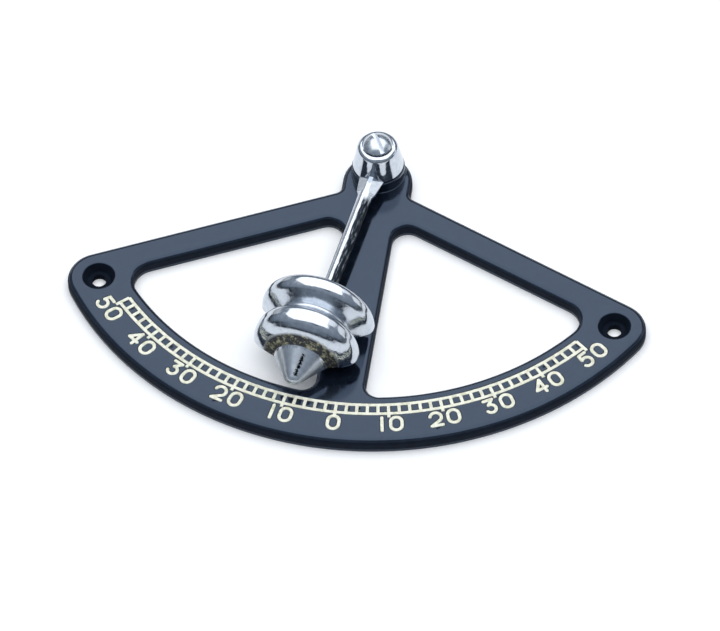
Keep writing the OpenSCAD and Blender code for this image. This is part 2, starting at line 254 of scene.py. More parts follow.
# %% Outline of the backplate
def bend(centre, r, start, end, side=1):
    """An arc as pairs of a point and its outward direction; side is -1 in a hollow corner."""
    count = max(2, math.ceil(abs(end - start) / (1.5 if r > 50 else 7.5)))
    for i in range(count + 1):
        way = heading(start + (end - start) * i / count)
        yield Vector(centre) + r * way, side * way


def outer_path():
    neck = beside(LUG_R + NECK_R, NECK_R - BAR_DROP)
    right = [
        *bend((0, 0), RIM_R, -90, angle_of(HOLE_PLACE)),
        *bend(HOLE_PLACE, CORNER_R, angle_of(HOLE_PLACE), 90 - BAR_SLOPE),
        *bend(neck, NECK_R, 270 - BAR_SLOPE, 180, -1),
        *bend((0, -LUG_DROP), LUG_R, 0, 90),
    ]
    left = [(Vector((-p.x, p.y)), Vector((-n.x, n.y))) for p, n in reversed(right[1:-1])]
    return right + left


def window_path():
    side_r, top_r, foot_r = 7, 5, 4.5
    side = nest(WINDOW_R - side_r, BAR_DROP + BAR_W + side_r)
    top = beside(SPOKE_W / 2 + top_r, -(BAR_DROP + BAR_W + top_r))
    foot_x = SPOKE_W / 2 + foot_r
    foot = Vector((foot_x, -math.sqrt((WINDOW_R - foot_r) ** 2 - foot_x**2)))
    return [
        *bend((0, 0), WINDOW_R, angle_of(foot), angle_of(side)),
        *bend(side, side_r, angle_of(side), 90 - BAR_SLOPE),
        *bend(top, top_r, 90 - BAR_SLOPE, 180),
        *bend(foot, foot_r, 180, 360 + angle_of(foot)),
    ]


def outline_at(path, grow, height):
    """The path grown outwards, as points in metres at a height, without repeated points."""
    points = []
    for p, n in path:
        q = p + grow * n
        if not points or (q * MM - points[-1].xy).length > SAME_PLACE:
            points.append(Vector((q.x, q.y, height)) * MM)
    return points

# %% [markdown]
# The outline is filled and pulled up into a slab. The quarter round at its edge is then made as a
# moulder would describe it: the top face is inset a little and raised a little, again and again,
# along a quarter circle. Each window is cut by a block whose mouth flares out along the same curve.

# %% Slab and window blocks
ROUND_STEPS = 8


def filled(name, points):
    """A flat face inside a closed line that looks down, left selected in edit mode."""
    piece = trace(name, points + points[:1])
    bpy.ops.mesh.select_all(action="SELECT")
    bpy.ops.mesh.remove_doubles(threshold=SAME_PLACE)
    bpy.ops.mesh.edge_face_add()
    bpy.ops.mesh.normals_make_consistent(inside=False)
    return piece


def raise_face(distance):
    bpy.ops.mesh.select_mode(type="FACE")
    bpy.ops.mesh.extrude_region_move(TRANSFORM_OT_translate={"value": (0, 0, distance * MM)})


def quarter_round(r, widening_first):
    """Insets the selected face along a quarter circle, starting steep at an edge or flat at a mouth."""
    angles = [math.radians(90 * k / ROUND_STEPS) for k in range(ROUND_STEPS + 1)]
    for a, b in zip(angles, angles[1:]):
        across, up = r * (math.cos(a) - math.cos(b)), r * (math.sin(b) - math.sin(a))
        if widening_first:
            across, up = up, across
        bpy.ops.mesh.inset(thickness=across * MM, depth=up * MM, use_even_offset=True)


def slab():
    piece = filled("backplate_moulding", outline_at(outer_path(), 0, 0))
    bpy.ops.mesh.flip_normals()
    raise_face(FACE - EDGE_ROUND)
    quarter_round(EDGE_ROUND, widening_first=False)
    tidy()
    return piece


def window_block():
    piece = filled("window_block", outline_at(window_path(), WINDOW_ROUND, FACE + 1))
    raise_face(-1)
    quarter_round(WINDOW_ROUND, widening_first=True)
    raise_face(-FACE - 1)
    tidy()
    return piece


plate = slab()
right_block = window_block()
pick(right_block)
bpy.ops.object.duplicate()
left_block = bpy.context.object
left_block.scale.x = -1
bpy.ops.object.transform_apply(location=False, rotation=False, scale=True)
edit(left_block)
tidy()
print("slab:", len(plate.data.vertices), "vertices; window block:", len(right_block.data.vertices))

# %% [markdown]
# The pedestal is turned and joined on. It ends in a fine bead where it meets the face, and in the
# photograph that bead is the thin bright arc under the hub. The screw holes have a short tapered
# recess for a countersunk head, with a softened rim. Cutters reach past the face, so that no cut ends
# exactly in it.

# %% Pedestal, holes and the seat of the insert
PEDESTAL_R, PEDESTAL_TOP = 8.5, 9.1
BEAD_R, BEAD_TOP = 8.85, 5.15
INSERT_R, INSERT_FLOOR = 3.6, 1.2
SCREW_HOLE_R, HEAD_FLOOR_R, HEAD_FLOOR, HEAD_MOUTH_R = 2.3, 3.65, 2.15, 5.2

pedestal = turned("pedestal", [
    (0, 3, 0), (BEAD_R, 3, 0), (BEAD_R, BEAD_TOP, 0.33), (PEDESTAL_R, BEAD_TOP, 0.02),
    (PEDESTAL_R, PEDESTAL_TOP, 0.4), (0, PEDESTAL_TOP, 0),
])
above = PEDESTAL_TOP + 1
insert_seat = turned("insert_seat", [
    (0, INSERT_FLOOR, 0), (INSERT_R, INSERT_FLOOR, 0), (INSERT_R, above, 0), (0, above, 0),
])


def hole_cutter(side):
    """What the screw hole on one side takes away: side is -1 on the left and 1 on the right."""
    clear_r = HEAD_MOUTH_R + 1.2
    cutter = turned("hole_cutter", [
        (0, -1, 0), (SCREW_HOLE_R, -1, 0), (SCREW_HOLE_R, HEAD_FLOOR, 0.15), (HEAD_FLOOR_R, HEAD_FLOOR, 0.2),
        (HEAD_MOUTH_R, FACE - 0.01, 0.7), (clear_r, FACE + 0.03, 0),
        (clear_r, FACE + 1.2, 0), (0, FACE + 1.2, 0),
    ], steps=64)
    return place(cutter, (side * HOLE_PLACE.x, HOLE_PLACE.y, 0))


combine(plate, [pedestal], "UNION")
combine(plate, [right_block, left_block, hole_cutter(-1), hole_cutter(1), insert_seat])
print("backplate after cutting:", len(plate.data.polygons), "faces")

# %% [markdown]
# The scale is engraved and then filled with enamel. The CAD nodes of the filling keep their shape, and
# a merged copy of each makes its pocket. The copy is fattened by about a fifth of a millimetre, which
# leaves the fine dark seam that the photograph shows round every stroke, and its top is pulled through
# the face.

# %% Pockets for the filling
SEAM = 0.22


def pocket_cutter(node):
    """A fattened copy of a filling that reaches up through the face."""
    pick(nodes[node])
    bpy.ops.object.duplicate()
    cutter = bpy.context.object
    cutter.name = node + "_pocket"
    edit(cutter)
    bpy.ops.mesh.remove_doubles(threshold=SAME_PLACE)
    bpy.ops.transform.shrink_fatten(value=SEAM * MM, use_even_offset=True)
    bpy.ops.mesh.select_all(action="DESELECT")
    bpy.ops.object.mode_set(mode="OBJECT")
    for vertex in cutter.data.vertices:
        vertex.select = vertex.co.z > (FACE - 0.2) * MM
    bpy.ops.object.mode_set(mode="EDIT")
    bpy.ops.transform.translate(value=(0, 0, MM))
    bpy.ops.object.mode_set(mode="OBJECT")
    return cutter


fillings = [name for name in nodes if name == "scale_ladder" or name.startswith("numeral_")]
combine(plate, [pocket_cutter(name) for name in fillings])
finish_surface(plate)

# %% [markdown]
# ## The hub and the screw
#
# The hub is a turned cone with a rounded top rim. Inside the rim lies the head of the pivot screw, in
# a shallow recess. A groove runs round the recess, and it is the thin dark line round the head. The
# section starts and ends in the bore, because the hub is open from end to end. `BACK` is the height of
# the flat back that the hub, the arm and the bob share.

# %% Hub
BACK = 9.55
HUB_FOOT_R, HUB_TOP_R, HUB_TOP = 8.3, 6.45, BACK + 9.3
BUSH_R, HEAD_SEAT_R, RECESS_R, RECESS = 3.6, 4.2, 5.05, 18.25
GROOVE = RECESS - 0.8

hub = turned("hub_turning", [
    (BUSH_R, BACK + 2, 0), (BUSH_R, BACK, 0.1), (HUB_FOOT_R, BACK, 0.4), (HUB_TOP_R, HUB_TOP - 0.2, 2.0),
    (RECESS_R, HUB_TOP + 0.05, 0.04), (RECESS_R, GROOVE, 0.1), (HEAD_SEAT_R, GROOVE, 0.1),
    (HEAD_SEAT_R, RECESS, 0.1), (BUSH_R, RECESS, 0.05), (BUSH_R, BACK + 2, 0),
])
print("hub's box in mm:", [round(side / MM, 2) for side in hub.dimensions])

# %% [markdown]
# The screw is turned from its thread's end to its head. The head's dome is a slice of a sphere, whose
# radius follows from the head's radius and the dome's height. The slot is milled straight across.

# %% Pivot screw
HEAD, SIDE_TOP, DOME_TOP, HEAD_R = 18.3, 19.4, 21.7, 4.65
THREAD_END, THREAD_R, SHOULDER_R = 2.2, 1.75, 2.5
SLOT_W, SLOT_DEPTH, SLOT_TURN = 1.4, 2.05, -60

dome_h = DOME_TOP - SIDE_TOP
dome_r = (HEAD_R**2 + dome_h**2) / (2 * dome_h)
from_top = [math.radians(degrees) for degrees in range(48, -1, -4)]
dome = [(dome_r * math.sin(a), DOME_TOP - dome_r * (1 - math.cos(a)), 0) for a in from_top]
screw = turned("pivot_screw_turning", [
    (0, THREAD_END, 0), (THREAD_R, THREAD_END, 0.3), (THREAD_R, PEDESTAL_TOP, 0.05),
    (SHOULDER_R, PEDESTAL_TOP, 0.1), (SHOULDER_R, HEAD, 0.05), (HEAD_R, HEAD, 0.2),
    (HEAD_R, SIDE_TOP, 0.12), *dome,
])
pick()
bpy.ops.mesh.primitive_cube_add(size=1)
slot = bpy.context.object
slot.scale = Vector((3 * HEAD_R, SLOT_W, 2 * SLOT_DEPTH)) * MM
slot.rotation_euler.z = math.radians(SLOT_TURN)
slot.location.z = DOME_TOP * MM
bpy.ops.object.transform_apply(location=True, rotation=True, scale=True)
combine(screw, [slot])
soften(screw, width=0.12, segments=3, sharper_than=50)
finish_surface(screw)

# %% [markdown]
# ## The arm
#
# The arm is a half-round bar, flat behind like the hub and the bob, and it runs from inside the hub
# into the bob. A round bar with its axis in the plane of the flat back is made first, because it also
# cuts the seats in the hub and the bob. The pendulum is modelled hanging straight down, and it is
# turned to its resting place at the end.

# %% Round bar
ARM_R, ARM_START, ARM_END = 2.4, 3.7, 68.2


def bar(name, start, end):
    """A round bar along the arm's line in the flat back, from one distance from the pivot to another."""
    pick()
    bpy.ops.mesh.primitive_cylinder_add(
        vertices=64, radius=ARM_R * MM, depth=(end - start) * MM, end_fill_type="NGON",
        location=Vector((0, -(start + end) / 2, BACK)) * MM, rotation=(math.radians(90), 0, 0),
    )
    piece = bpy.context.object
    piece.name = name
    bpy.ops.object.transform_apply(location=True, rotation=True, scale=True)
    return piece

# %% [markdown]
# At the hub the arm swells into a collar: a roof with two flat slopes over the bar, which ends in a
# short blunt slope. It has no straight axis to turn or extrude it along, so three sections are drawn
# and bridged. Each is given by its distance from the pivot, its half width, the height of its sides
# and the radius of its ridge.

# %% Collar
COLLAR_SECTIONS = [(7.2, 4.0, 0.4, 2.52), (13.4, 3.05, 1.0, 2.46), (15.2, 2.2, 0.8, 2.3)]


def collar_section(away, half_width, side, ridge_r):
    """A closed line up two sides and over a round ridge, at a distance away from the pivot."""
    ridge = [ridge_r * heading(a) for a in range(70, 111, 10)]
    right = [Vector((half_width, 0)), Vector((half_width, side))]
    left = [Vector((-half_width, side)), Vector((-half_width, 0))]
    line = [*right, *ridge, *left, right[0]]
    piece = trace("collar", [Vector((q.x, -away, q.y + BACK)) * MM for q in line])
    bpy.ops.mesh.select_all(action="SELECT")
    bpy.ops.mesh.remove_doubles(threshold=SAME_PLACE)
    bpy.ops.object.mode_set(mode="OBJECT")
    return piece


def collar():
    """The collar's sections bridged from the hub outwards, with both ends filled."""
    pick(*[collar_section(*sizes) for sizes in COLLAR_SECTIONS])
    bpy.ops.object.join()
    piece = bpy.context.object
    edit(piece)
    bpy.ops.mesh.select_mode(type="EDGE")
    bpy.ops.mesh.bridge_edge_loops()
    bpy.ops.mesh.select_all(action="DESELECT")
    bpy.ops.mesh.select_non_manifold(extend=False)
    bpy.ops.mesh.fill_holes(sides=0)
    tidy()
    return soften(piece, width=0.12, segments=2, sharper_than=40)

# %% [markdown]
# Half of the bar is cut away along the flat back, its edges are softened, and the collar is joined on.
# The hub's seat is cut a little deeper than the arm reaches.

# %% Arm
arm = bar("arm_bar", ARM_START, ARM_END)
edit(arm)
bpy.ops.mesh.bisect(plane_co=(0, 0, BACK * MM), plane_no=(0, 0, 1), use_fill=True, clear_inner=True)
tidy()
soften(arm, width=0.15, segments=3, sharper_than=40)
combine(arm, [collar()], "UNION")
combine(hub, [bar("arm_seat_in_hub", 2, 10)])
print("arm's box in mm:", [round(side / MM, 2) for side in arm.dimensions])

# %% [markdown]
# ## The bob
#
# The bob is half of a plumb bob, split down its length, so its back can pass close to the plate. Two
# fat discs with a groove between them stand over a short cone, the pointer. The section is drawn in
# the plane of the flat back and spun through half a turn, and the open back is then filled.

# %% Bob
UPPER_DISC = [(60.2, 3.6, 0.5), (61.6, 18.4, 2.6), (66.3, 18.4, 3.2)]
GROOVE_AND_LOWER_DISC = [(70.55, 12.3, 0.9), (74.2, 17.0, 3.0), (79.0, 17.0, 3.6), (81.35, 14.0, 7.0)]
POINTER = [(83.3, 8.65, 0.9), (92.3, 1.7, 3.0)]
BOB_SECTION = [(60.2, 0, 0), *UPPER_DISC, *GROOVE_AND_LOWER_DISC, *POINTER, (92.3, 0, 0)]


def half_turned(name, corners):
    """Half of a solid turned about the arm's line, from a section of (distance, radius, rounding) in mm."""
    piece = trace(name, [Vector((r, -s, BACK)) * MM for s, r in rounded(corners, step=6)])
    bpy.ops.mesh.select_all(action="SELECT")
    bpy.ops.mesh.spin(steps=96, angle=math.pi, center=(0, 0, BACK * MM), axis=(0, 1, 0))
    bpy.ops.mesh.select_all(action="SELECT")
    bpy.ops.mesh.remove_doubles(threshold=SAME_PLACE)
    bpy.ops.mesh.select_all(action="DESELECT")
    bpy.ops.mesh.select_non_manifold(extend=False)
    bpy.ops.mesh.edge_face_add()
    tidy()
    return piece


bob = half_turned("bob_casting", BOB_SECTION)
soften(bob, width=0.25, segments=3, sharper_than=60)
print("bob reaches z", round(max(v.co.z for v in bob.data.vertices) / MM, 2), "mm")

# %% [markdown]
# The arm's seat and the hole of its pin are cut last, as on the real casting. Then the three
# pieces are turned together to where the pendulum hangs, nine degrees left of the zero.

# %% Drilling the bob and hanging the pendulum
SWING = -9
PIN_R, PIN_AWAY = 0.8, 64.2


def pin_drill():
    """What the hole of the bob's pin takes away, up from behind the flat back."""
    pick()
    bpy.ops.mesh.primitive_cylinder_add(
        vertices=32, radius=PIN_R * MM, depth=6 * MM, location=Vector((0, -PIN_AWAY, BACK + 2)) * MM,
    )
    piece = bpy.context.object
    bpy.ops.object.transform_apply(location=True, rotation=False, scale=False)
    return piece


combine(bob, [bar("arm_seat_in_bob", 55, ARM_END), pin_drill()])
combine(arm, [pin_drill()])
for piece in (hub, arm, bob):
    pick(piece)
    piece.rotation_euler.z = math.radians(SWING)
    bpy.ops.object.transform_apply(location=False, rotation=True, scale=False)
    finish_surface(piece)

# %% [markdown]
# ## Colours and nodes
#
# A colour is written down as one reads it off a screen, in sRGB. Blender's shaders want linear light,
# so one function turns the one into the other. One more function adds a node with its settings and
# links, and every material below is built with it.

# %% Material helpers
def linear(code):
    """An sRGB colour such as #20242e as a linear RGBA colour."""
    parts = [int(code[i:i + 2], 16) / 255 for i in (1, 3, 5)]
    return [c / 12.92 if c <= 0.04045 else ((c + 0.055) / 1.055) ** 2.4 for c in parts] + [1]


def feed(tree, node, **settings):
    """Sets a node's properties and inputs. A value that is a node or an output is linked to the input."""
    for name, value in settings.items():
        if hasattr(node, name):
            setattr(node, name, value)
            continue
        socket = next(s for s in node.inputs if name in (s.identifier, s.name.replace(" ", "_")))
        if isinstance(value, bpy.types.Node):
            value = next(output for output in value.outputs if output.enabled)
        if isinstance(value, bpy.types.NodeSocket):
            tree.links.new(value, socket)
        else:
            socket.default_value = value
    return node


def add(tree, kind, stops=(), **settings):
    """Adds a node with its settings and links, and the stops of a colour ramp as (position, colour)."""
    node = feed(tree, tree.nodes.new("ShaderNode" + kind), **settings)
    for k, (position, colour) in enumerate(stops):
        stop = node.color_ramp.elements[k] if k < 2 else node.color_ramp.elements.new(position)
        stop.position, stop.color = position, linear(colour)
    return node


def new_material(name):
    """A material, its node tree and its Principled shader."""
    made = bpy.data.materials.new(name)
    made.use_nodes = True
    return made, made.node_tree, made.node_tree.nodes["Principled BSDF"]

# %% [markdown]
# ## Phenolic moulding
#
# The plate is phenolic resin, pressed in a polished mould: nearly black with a blue cast, very glossy,
# and harder than it looks. It mirrors the lights strongly only at their mirror angle. Handling leaves
# hairlines and a haze in the gloss, and the moulding itself is very slightly wavy.
#
# Where a tool has cut the polished skin away, the resin is a dull black: inside the screw holes, and
# in a band round the edges, where the flash of the mould was filed off. The band is found by height
# alone. The plate is the same on both sides, so absolute values fold one hole onto the other.

# %% Where the resin is cut
def where_cut(tree, here):
    """Goes from 0 on the moulded skin to 1 where the resin was drilled or filed."""
    hole = Vector((HOLE_PLACE.x, abs(HOLE_PLACE.y), 0)) * MM
    folded = add(tree, "VectorMath", operation="ABSOLUTE", Vector=here)
    flat = add(tree, "VectorMath", operation="MULTIPLY", Vector=folded, Vector_001=(1, 1, 0))
    away = add(tree, "VectorMath", operation="DISTANCE", Vector=flat, Vector_001=hole).outputs["Value"]
    height = add(tree, "SeparateXYZ", Vector=here).outputs["Z"]
    deep = add(tree, "Math", operation="LESS_THAN", Value=height, Value_001=(FACE - 0.25) * MM)
    inside = add(tree, "Math", operation="LESS_THAN", Value=away, Value_001=(HEAD_MOUTH_R + 0.3) * MM)
    drilled = add(tree, "Math", operation="MULTIPLY", Value=inside, Value_001=deep)
    share = add(tree, "MapRange", Value=height, From_Min=0, From_Max=FACE * MM)
    filed = add(tree, "ValToRGB", Fac=share, stops=(
        (0.16, "#000000"), (0.26, "#f0f0f0"), (0.78, "#f0f0f0"), (0.92, "#000000")))
    return add(tree, "Math", operation="MAXIMUM", Value=drilled, Value_001=filed)

# %% [markdown]
# The cut resin is rough and has hardly any mirror left. Both follow the same mask, so they are linked,
# and what is the same all over the plate is set on the shader itself.

# %% Phenolic material
def phenolic_resin():
    made, tree, shader = new_material("phenolic_resin_polished_moulding")
    here = add(tree, "TexCoord").outputs["Object"]
    waves = add(tree, "TexNoise", Vector=here, Scale=1 / (11 * MM), Detail=2.0)
    haze = add(tree, "TexNoise", Vector=here, Scale=1 / (3 * MM), Detail=5.0, Roughness=0.65)
    along = add(tree, "Mapping", Vector=here, Rotation=(0, 0, math.radians(35)), Scale=(1, 0.03, 1))
    hairs = add(tree, "TexNoise", Vector=along, Scale=1 / (0.4 * MM), Detail=2.0)
    tint = add(tree, "ValToRGB", Fac=haze, stops=((0.35, "#0d121b"), (0.7, "#151c27")))
    gloss = add(tree, "MapRange", Value=haze, From_Min=0.35, From_Max=0.75, To_Min=0.09, To_Max=0.17)
    cut = where_cut(tree, here)
    skin = add(tree, "MapRange", Value=cut, To_Min=0.5, To_Max=0.06)
    dull = add(tree, "Mix", Factor_Float=cut, A_Float=gloss, B_Float=0.85)
    wavy = add(tree, "Bump", Strength=0.05, Distance=0.5 * MM, Height=waves)
    scored = add(tree, "Bump", Strength=0.03, Distance=0.03 * MM, Height=hairs, Normal=wavy)
    feed(tree, shader, Base_Color=tint, Roughness=dull, Normal=scored, Specular_IOR_Level=skin)
    feed(tree, shader, IOR=1.68, Specular_Tint=linear("#c2dcff"))
    return made


phenolic = phenolic_resin()
print("made", phenolic.name)

# %% [markdown]
# ## Enamel filling
#
# The scale's strokes are filled with a soft cream enamel, wiped level and dried. It is duller than the
# plate, a little uneven, and darkens where dirt gathers in it.

# %% Enamel material
def enamel_filling():
    made, tree, shader = new_material("cream_enamel_filling")
    here = add(tree, "TexCoord").outputs["Object"]
    patches = add(tree, "TexNoise", Vector=here, Scale=1 / (1.4 * MM), Detail=4.0, Roughness=0.6)
    specks = add(tree, "TexNoise", Vector=here, Scale=1 / (0.3 * MM), Detail=2.0)
    tint = add(tree, "ValToRGB", Fac=patches, stops=((0.3, "#cac9b0"), (0.6, "#efeedc")))
    dull = add(tree, "MapRange", Value=specks, From_Min=0.3, From_Max=0.7, To_Min=0.4, To_Max=0.6)
    grain = add(tree, "Bump", Strength=0.25, Distance=0.05 * MM, Height=specks)
    feed(tree, shader, Base_Color=tint, Roughness=dull, Normal=grain)
    return made


enamel = enamel_filling()
print("made", enamel.name)

# %% [markdown]
# ## Chromium plate
#
# Bright chromium over nickel gives a cool mirror. What makes it old is the loss of that mirror:
# hairlines, small pits in the plating, and a slight unevenness of the polish below it, which bends
# the reflections. The screw has been gripped and wiped so often that it is duller than the rest. Pits
# are drawn coarser than real ones, about a fifth of a millimetre, or they would not show.

# %% Chromium material
def chromium_plate(name, finest=0.05, dullest=0.2, uneven=0.14):
    made, tree, shader = new_material(name)
    here = add(tree, "TexCoord").outputs["Object"]
    swell = add(tree, "TexNoise", Vector=here, Scale=1 / (4 * MM), Detail=3.0)
    cloud = add(tree, "TexNoise", Vector=here, Scale=1 / (1.5 * MM), Detail=6.0, Roughness=0.7)
    along = add(tree, "Mapping", Vector=here, Rotation=(0, 0, math.radians(-30)), Scale=(1, 0.06, 1))
    hairs = add(tree, "TexNoise", Vector=along, Scale=1 / (0.2 * MM), Detail=2.0)
    cells = add(tree, "TexVoronoi", Vector=here, Scale=1 / (1.3 * MM))
    chosen = add(tree, "Math", operation="GREATER_THAN", Value=cells.outputs["Color"], Value_001=0.6)
    near = add(tree, "Math", operation="LESS_THAN", Value=cells.outputs["Distance"], Value_001=0.07)
    pits = add(tree, "Math", operation="MULTIPLY", Value=chosen, Value_001=near)
    bright = add(tree, "ValToRGB", Fac=cloud, stops=((0.3, "#b7bdc6"), (0.7, "#d1d7de")))
    pitted = add(tree, "Mix", data_type="RGBA", Factor_Float=pits, A_Color=bright, B_Color=linear("#777c83"))
    gloss = add(tree, "MapRange", Value=cloud, From_Min=0.4, From_Max=0.8, To_Min=finest, To_Max=dullest)
    bent = add(tree, "Bump", Strength=uneven, Distance=0.4 * MM, Height=swell)
    scored = add(tree, "Bump", Strength=0.1, Distance=0.02 * MM, Height=hairs, Normal=bent)
    feed(tree, shader, Base_Color=pitted, Roughness=gloss, Normal=scored, Metallic=1)
    return made


chromium = chromium_plate("chromium_plate_over_nickel")
worn = chromium_plate("chromium_plate_worn_dull", finest=0.22, dullest=0.42, uneven=0.25)
print("made", chromium.name, "and", worn.name)

# %% [markdown]
# The pendulum hangs nine degrees off the plate's axis. Stains that follow it, and the dark reflection
# painted on the arm, are found by the distance along the arm and across it, which the piece's own
# coordinates give once they are turned back. Each of them is laid over a finished chromium, by mixing a
# second roughness and colour over its own.

# %% Laying stains and painted shade over chromium
def along_pendulum(tree):
    """Coordinates that hang straight down, with the distances along the arm and across it in mm."""
    here = add(tree, "TexCoord").outputs["Object"]
    turned_back = add(tree, "Mapping", Vector=here, Rotation=(0, 0, math.radians(-SWING)))
    hanging = add(tree, "SeparateXYZ", Vector=turned_back).outputs
    reach = add(tree, "Math", operation="MULTIPLY", Value=hanging["Y"], Value_001=-1 / MM)
    across = add(tree, "Math", operation="MULTIPLY", Value=hanging["X"], Value_001=1 / MM)
    return turned_back, reach, across


def lay_over(tree, shader, amount, roughness, colour=None):
    """Mixes a roughness, and a colour where one is given, over the shader's own by an amount."""
    gloss = shader.inputs["Roughness"].links[0].from_socket
    dulled = add(tree, "Mix", Factor_Float=amount, A_Float=gloss, B_Float=roughness)
    feed(tree, shader, Roughness=dulled)
    if colour is not None:
        plain = shader.inputs["Base Color"].links[0].from_socket
        dyed = add(tree, "Mix", data_type="RGBA", Factor_Float=amount, A_Color=plain, B_Color=colour)
        feed(tree, shader, Base_Color=dyed)

# %% [markdown]
# The arm's right flank is dark where it mirrors the plate, and this is painted on as a dark, duller colour:
# a painted reflection from the end of the collar down, wandering at its edge, with streaks of bright metal
# left that are drawn out along the arm.

# %% Chromium with a painted dark reflection on its flank
def chromium_with_painted_dark_flank():
    made = chromium_plate("chromium_plate_stained")
    tree = made.node_tree
    turned_back, reach, across = along_pendulum(tree)
    drawn_out = add(tree, "Mapping", Vector=turned_back, Scale=(1, 0.12, 1))
    streaks = add(tree, "TexNoise", Vector=drawn_out, Scale=1 / (0.5 * MM), Detail=4.0, Roughness=0.7)
    wander = add(tree, "Math", operation="MULTIPLY_ADD", Value=streaks, Value_001=1.2, Value_002=across)
    flank = add(tree, "MapRange", Value=wander, From_Min=0.65, From_Max=0.95)
    past_collar = add(tree, "MapRange", Value=reach, From_Min=15.5, From_Max=17.5)
    patchy = add(tree, "MapRange", Value=streaks, From_Min=0.36, From_Max=0.46, To_Min=0.45, To_Max=1.0)
    on_flank = add(tree, "Math", operation="MULTIPLY", Value=flank, Value_001=past_collar)
    # The stain below is a painted reflection: the dark plate as the right flank mirrors it, painted as a
    # dark colour.
    stain = add(tree, "Math", operation="MULTIPLY", Value=on_flank, Value_001=patchy)
    lay_over(tree, tree.nodes["Principled BSDF"], stain, 0.4, linear("#252b33"))
    return made


dark_flank_chromium = chromium_with_painted_dark_flank()
print("made", dark_flank_chromium.name)

# %% [markdown]
# The bob's plating has aged more than the rest. The groove and the pointer are scuffed dull. Under the
# lower disc, where a polishing cloth never reaches, lie grime and crumbs of brown-green tarnish. Each
# ramp runs over a span of distances from the pivot, and its stops are shares of that span.

# %% Scuffs and grime
SCUFF_SPAN, GRIME_SPAN = (60.0, 93.0), (80.0, 84.0)


def scuffs(tree, reach):
    """Where the groove and the pointer have lost their gloss, and how much of it."""
    share = add(tree, "MapRange", Value=reach, From_Min=SCUFF_SPAN[0], From_Max=SCUFF_SPAN[1])
    return add(tree, "ValToRGB", Fac=share, stops=(
        (0.25, "#000000"), (0.3, "#9c9c9c"), (0.42, "#9c9c9c"), (0.47, "#000000"),
        (0.7, "#000000"), (0.74, "#eaeaea")))


def grime(tree, turned_back, reach, fine):
    """How much grime there is, and its colour from the dark film to the pale crumbs."""
    share = add(tree, "MapRange", Value=reach, From_Min=GRIME_SPAN[0], From_Max=GRIME_SPAN[1])
    amount = add(tree, "ValToRGB", Fac=share, stops=(
        (0.44, "#000000"), (0.54, "#f4f4f4"), (0.83, "#f4f4f4"), (0.88, "#000000")))
    patches = add(tree, "TexNoise", Vector=turned_back, Scale=1 / (2.2 * MM), Detail=1.0)
    crumbs = add(tree, "Math", operation="MULTIPLY_ADD", Value=patches, Value_001=0.7, Value_002=fine)
    colour = add(tree, "ValToRGB", Fac=crumbs, stops=(
        (0.84, "#14161a"), (0.88, "#55523f"), (0.94, "#8f8b6c"), (1, "#bab694")))
    return amount, colour

# %% [markdown]
# The plating has also split in a ragged line down the pointer. It is drawn as a straight line that
# leans a little, and a fine noise sets its width from place to place. The three stains are then laid
# over a chromium that is duller and more uneven than the hub's.

# %% Tarnished chromium
LEAN, START = -0.21, 19.82
MIDDLE, HALF = 87.9, 2.9


def split(tree, reach, across, fine):
    """Is 1 where across is about LEAN * reach + START, on the pointer alone, and 0 elsewhere."""
    line = add(tree, "Math", operation="MULTIPLY_ADD", Value=reach, Value_001=LEAN, Value_002=START)
    width = add(tree, "MapRange", Value=fine, From_Min=0.4, From_Max=0.6, To_Min=0.08, To_Max=0.75)
    on_line = add(tree, "Math", operation="COMPARE", Value=across, Value_001=line, Value_002=width)
    on_pointer = add(tree, "Math", operation="COMPARE", Value=reach, Value_001=MIDDLE, Value_002=HALF)
    return add(tree, "Math", operation="MULTIPLY", Value=on_line, Value_001=on_pointer)


def tarnished_chromium():
    made = chromium_plate("chromium_plate_tarnished", finest=0.07, dullest=0.28, uneven=0.2)
    tree = made.node_tree
    shader = tree.nodes["Principled BSDF"]
    turned_back, reach, across = along_pendulum(tree)
    fine = add(tree, "TexNoise", Vector=turned_back, Scale=1 / (0.6 * MM), Detail=4.0, Roughness=0.75)
    lay_over(tree, shader, scuffs(tree, reach), 0.38)
    amount, dirt = grime(tree, turned_back, reach, fine)
    lay_over(tree, shader, amount, 0.6, dirt)
    lay_over(tree, shader, split(tree, reach, across, fine), 0.6, linear("#08090a"))
    return made


tarnished = tarnished_chromium()
print("made", tarnished.name)

# %% [markdown]
# ## Brass and steel inside
#
# The insert, the washer and the bush are turned brass, and the bob's pin is plain steel. Little of
# them shows, but turning leaves fine rings round the axis, which a wave on the distance from the axis
# draws. Real rings are a tenth of a millimetre apart, and these are much coarser, nearly two.

# %% Brass and steel materials
def turned_metal(name, dark, light):
    made, tree, shader = new_material(name)
    here = add(tree, "TexCoord").outputs["Object"]
    rings = add(
        tree, "TexWave", Vector=here, wave_type="RINGS", rings_direction="Z",
        Scale=1 / (6 * MM), Distortion=1.5,
    )
    stain = add(tree, "TexNoise", Vector=here, Scale=1 / (2 * MM), Detail=4.0)
    tint = add(tree, "ValToRGB", Fac=stain, stops=((0.3, dark), (0.65, light)))
    grooves = add(tree, "Bump", Strength=0.15, Distance=0.03 * MM, Height=rings.outputs["Fac"])
    gloss = add(tree, "MapRange", Value=stain, From_Min=0.3, From_Max=0.7, To_Min=0.22, To_Max=0.4)
    feed(tree, shader, Base_Color=tint, Roughness=gloss, Normal=grooves, Metallic=1)
    return made


brass = turned_metal("turned_brass", "#8a6a35", "#cfae6c")
steel = turned_metal("drawn_steel_pin", "#6d7177", "#a3a8ae")
print("made", brass.name, "and", steel.name)

# %% [markdown]
# ## Putting the pieces in the frame
#
# Each new piece takes one material, stands for its CAD node, and rides on the body that carries it.
# The other nodes keep their own shape and get their finish in their slots.

# %% Dressing the frame
def dress(piece, finish):
    piece.data.materials.clear()
    piece.data.materials.append(finish)


